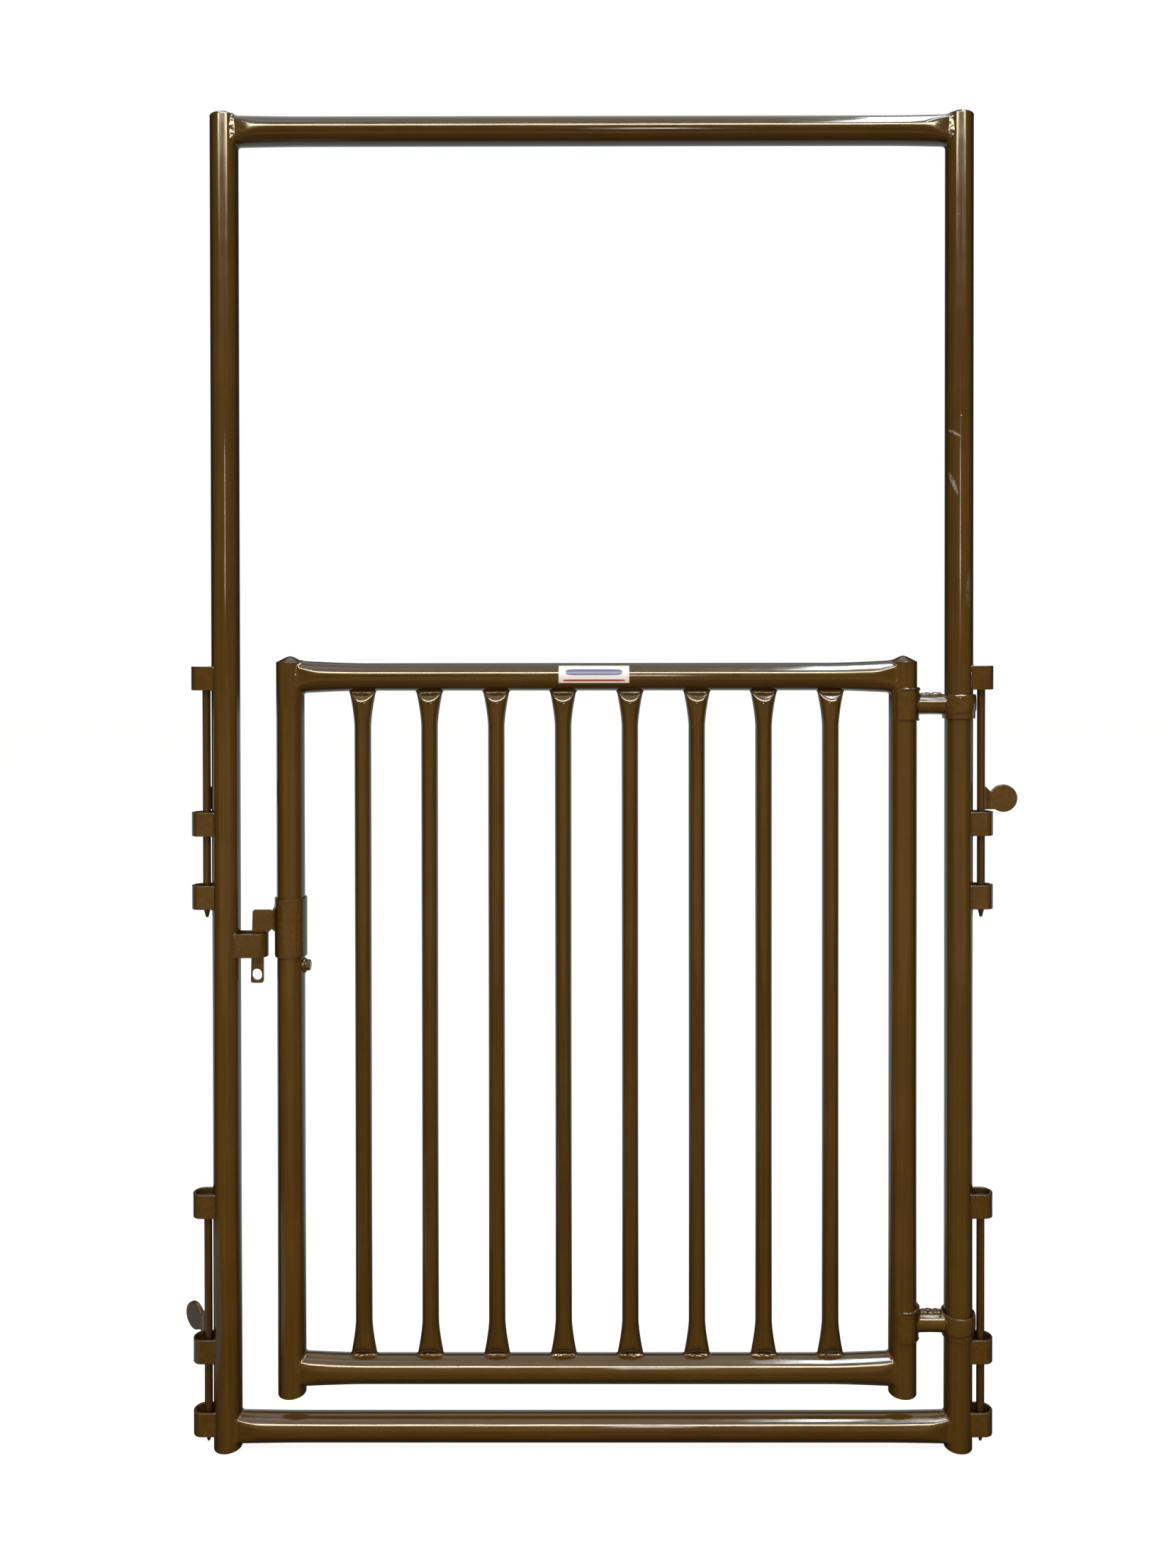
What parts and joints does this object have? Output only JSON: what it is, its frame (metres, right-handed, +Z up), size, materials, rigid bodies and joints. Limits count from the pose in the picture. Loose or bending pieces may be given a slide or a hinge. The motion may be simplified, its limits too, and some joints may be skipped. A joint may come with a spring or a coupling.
{
  "type": "livestock gate",
  "caption": "Tall tubular walk-through livestock panel with a low swinging picket gate, a drop latch and drop-pin connectors on both sides.",
  "frame": {"origin": "on the ground, midway between the two posts, in the plane of the frame", "axes": "+X along the fence line to the hinge side, +Y away from the front, +Z up"},
  "size_m": [1.3466, 0.0811, 2.1411],
  "materials": {
    "frame_enamel": "gloss",
    "gate_enamel": "gloss",
    "fitting_enamel": "gloss",
    "pin_enamel": "gloss"
  },
  "bodies": {
    "frame": {"left_post": "frame_enamel", "right_post": "frame_enamel", "left_post_cap": "frame_enamel", "right_post_cap": "frame_enamel", "top_rail": "frame_enamel", "bottom_rail": "frame_enamel", "latch_keeper": "fitting_enamel", "left_upper_low_loop": "fitting_enamel", "left_upper_middle_loop": "fitting_enamel", "left_upper_top_loop": "fitting_enamel", "left_lower_low_loop": "fitting_enamel", "left_lower_middle_loop": "fitting_enamel", "left_lower_top_loop": "fitting_enamel", "right_upper_low_loop": "fitting_enamel", "right_upper_middle_loop": "fitting_enamel", "right_upper_top_loop": "fitting_enamel", "right_lower_low_loop": "fitting_enamel", "right_lower_middle_loop": "fitting_enamel", "right_lower_top_loop": "fitting_enamel"},
    "gate": {"latch_stile": "gate_enamel", "hinge_stile": "gate_enamel", "latch_stile_cap": "gate_enamel", "hinge_stile_cap": "gate_enamel", "gate_top_rail": "gate_enamel", "gate_bottom_rail": "gate_enamel", "latch_stop": "fitting_enamel", "picket_1": "gate_enamel", "picket_2": "gate_enamel", "picket_3": "gate_enamel", "picket_4": "gate_enamel", "picket_5": "gate_enamel", "picket_6": "gate_enamel", "picket_7": "gate_enamel", "picket_8": "gate_enamel", "upper_hinge_saddle": "fitting_enamel", "upper_hinge_arm": "fitting_enamel", "upper_hinge_eye": "fitting_enamel", "lower_hinge_saddle": "fitting_enamel", "lower_hinge_arm": "fitting_enamel", "lower_hinge_eye": "fitting_enamel"},
    "latch": {"latch_sleeve": "fitting_enamel"},
    "left_upper_pin": {"left_upper_pin": "pin_enamel"},
    "left_upper_paddle": {"left_upper_paddle": "pin_enamel"},
    "left_lower_pin": {"left_lower_pin": "pin_enamel"},
    "left_lower_paddle": {"left_lower_paddle": "pin_enamel"},
    "right_upper_pin": {"right_upper_pin": "pin_enamel"},
    "right_upper_paddle": {"right_upper_paddle": "pin_enamel"},
    "right_lower_pin": {"right_lower_pin": "pin_enamel"},
    "right_lower_paddle": {"right_lower_paddle": "pin_enamel"}
  },
  "joints": [
    {"name": "gate_swing", "type": "hinge", "parent": "frame", "child": "gate", "pos_m": [0.58737, 0, 0.7], "axis": [0, 0, 1], "range_deg": [-110, 110]},
    {"name": "latch_lift", "type": "slide", "parent": "gate", "child": "latch", "axis": [0, 0, 1], "range_m": [0, 0.32]},
    {"name": "left_upper_pin_lift", "type": "slide", "parent": "frame", "child": "left_upper_pin", "axis": [0, 0, 1], "range_m": [0, 0.15]},
    {"name": "left_upper_pin_turn", "type": "hinge", "parent": "left_upper_pin", "child": "left_upper_paddle", "pos_m": [-0.61865, 0, 1.003], "axis": [0, 0, 1], "range_deg": [-5, 235]},
    {"name": "left_lower_pin_lift", "type": "slide", "parent": "frame", "child": "left_lower_pin", "axis": [0, 0, 1], "range_m": [0, 0.15]},
    {"name": "left_lower_pin_turn", "type": "hinge", "parent": "left_lower_pin", "child": "left_lower_paddle", "pos_m": [-0.61865, 0, 0.159], "axis": [0, 0, 1], "range_deg": [-83, 157]},
    {"name": "right_upper_pin_lift", "type": "slide", "parent": "frame", "child": "right_upper_pin", "axis": [0, 0, 1], "range_m": [0, 0.15]},
    {"name": "right_upper_pin_turn", "type": "hinge", "parent": "right_upper_pin", "child": "right_upper_paddle", "pos_m": [0.62335, 0, 1.003], "axis": [0, 0, 1], "range_deg": [-120, 120]},
    {"name": "right_lower_pin_lift", "type": "slide", "parent": "frame", "child": "right_lower_pin", "axis": [0, 0, 1], "range_m": [0, 0.15]},
    {"name": "right_lower_pin_turn", "type": "hinge", "parent": "right_lower_pin", "child": "right_lower_paddle", "pos_m": [0.62335, 0, 0.159], "axis": [0, 0, 1], "range_deg": [-191, 49]}
  ]
}
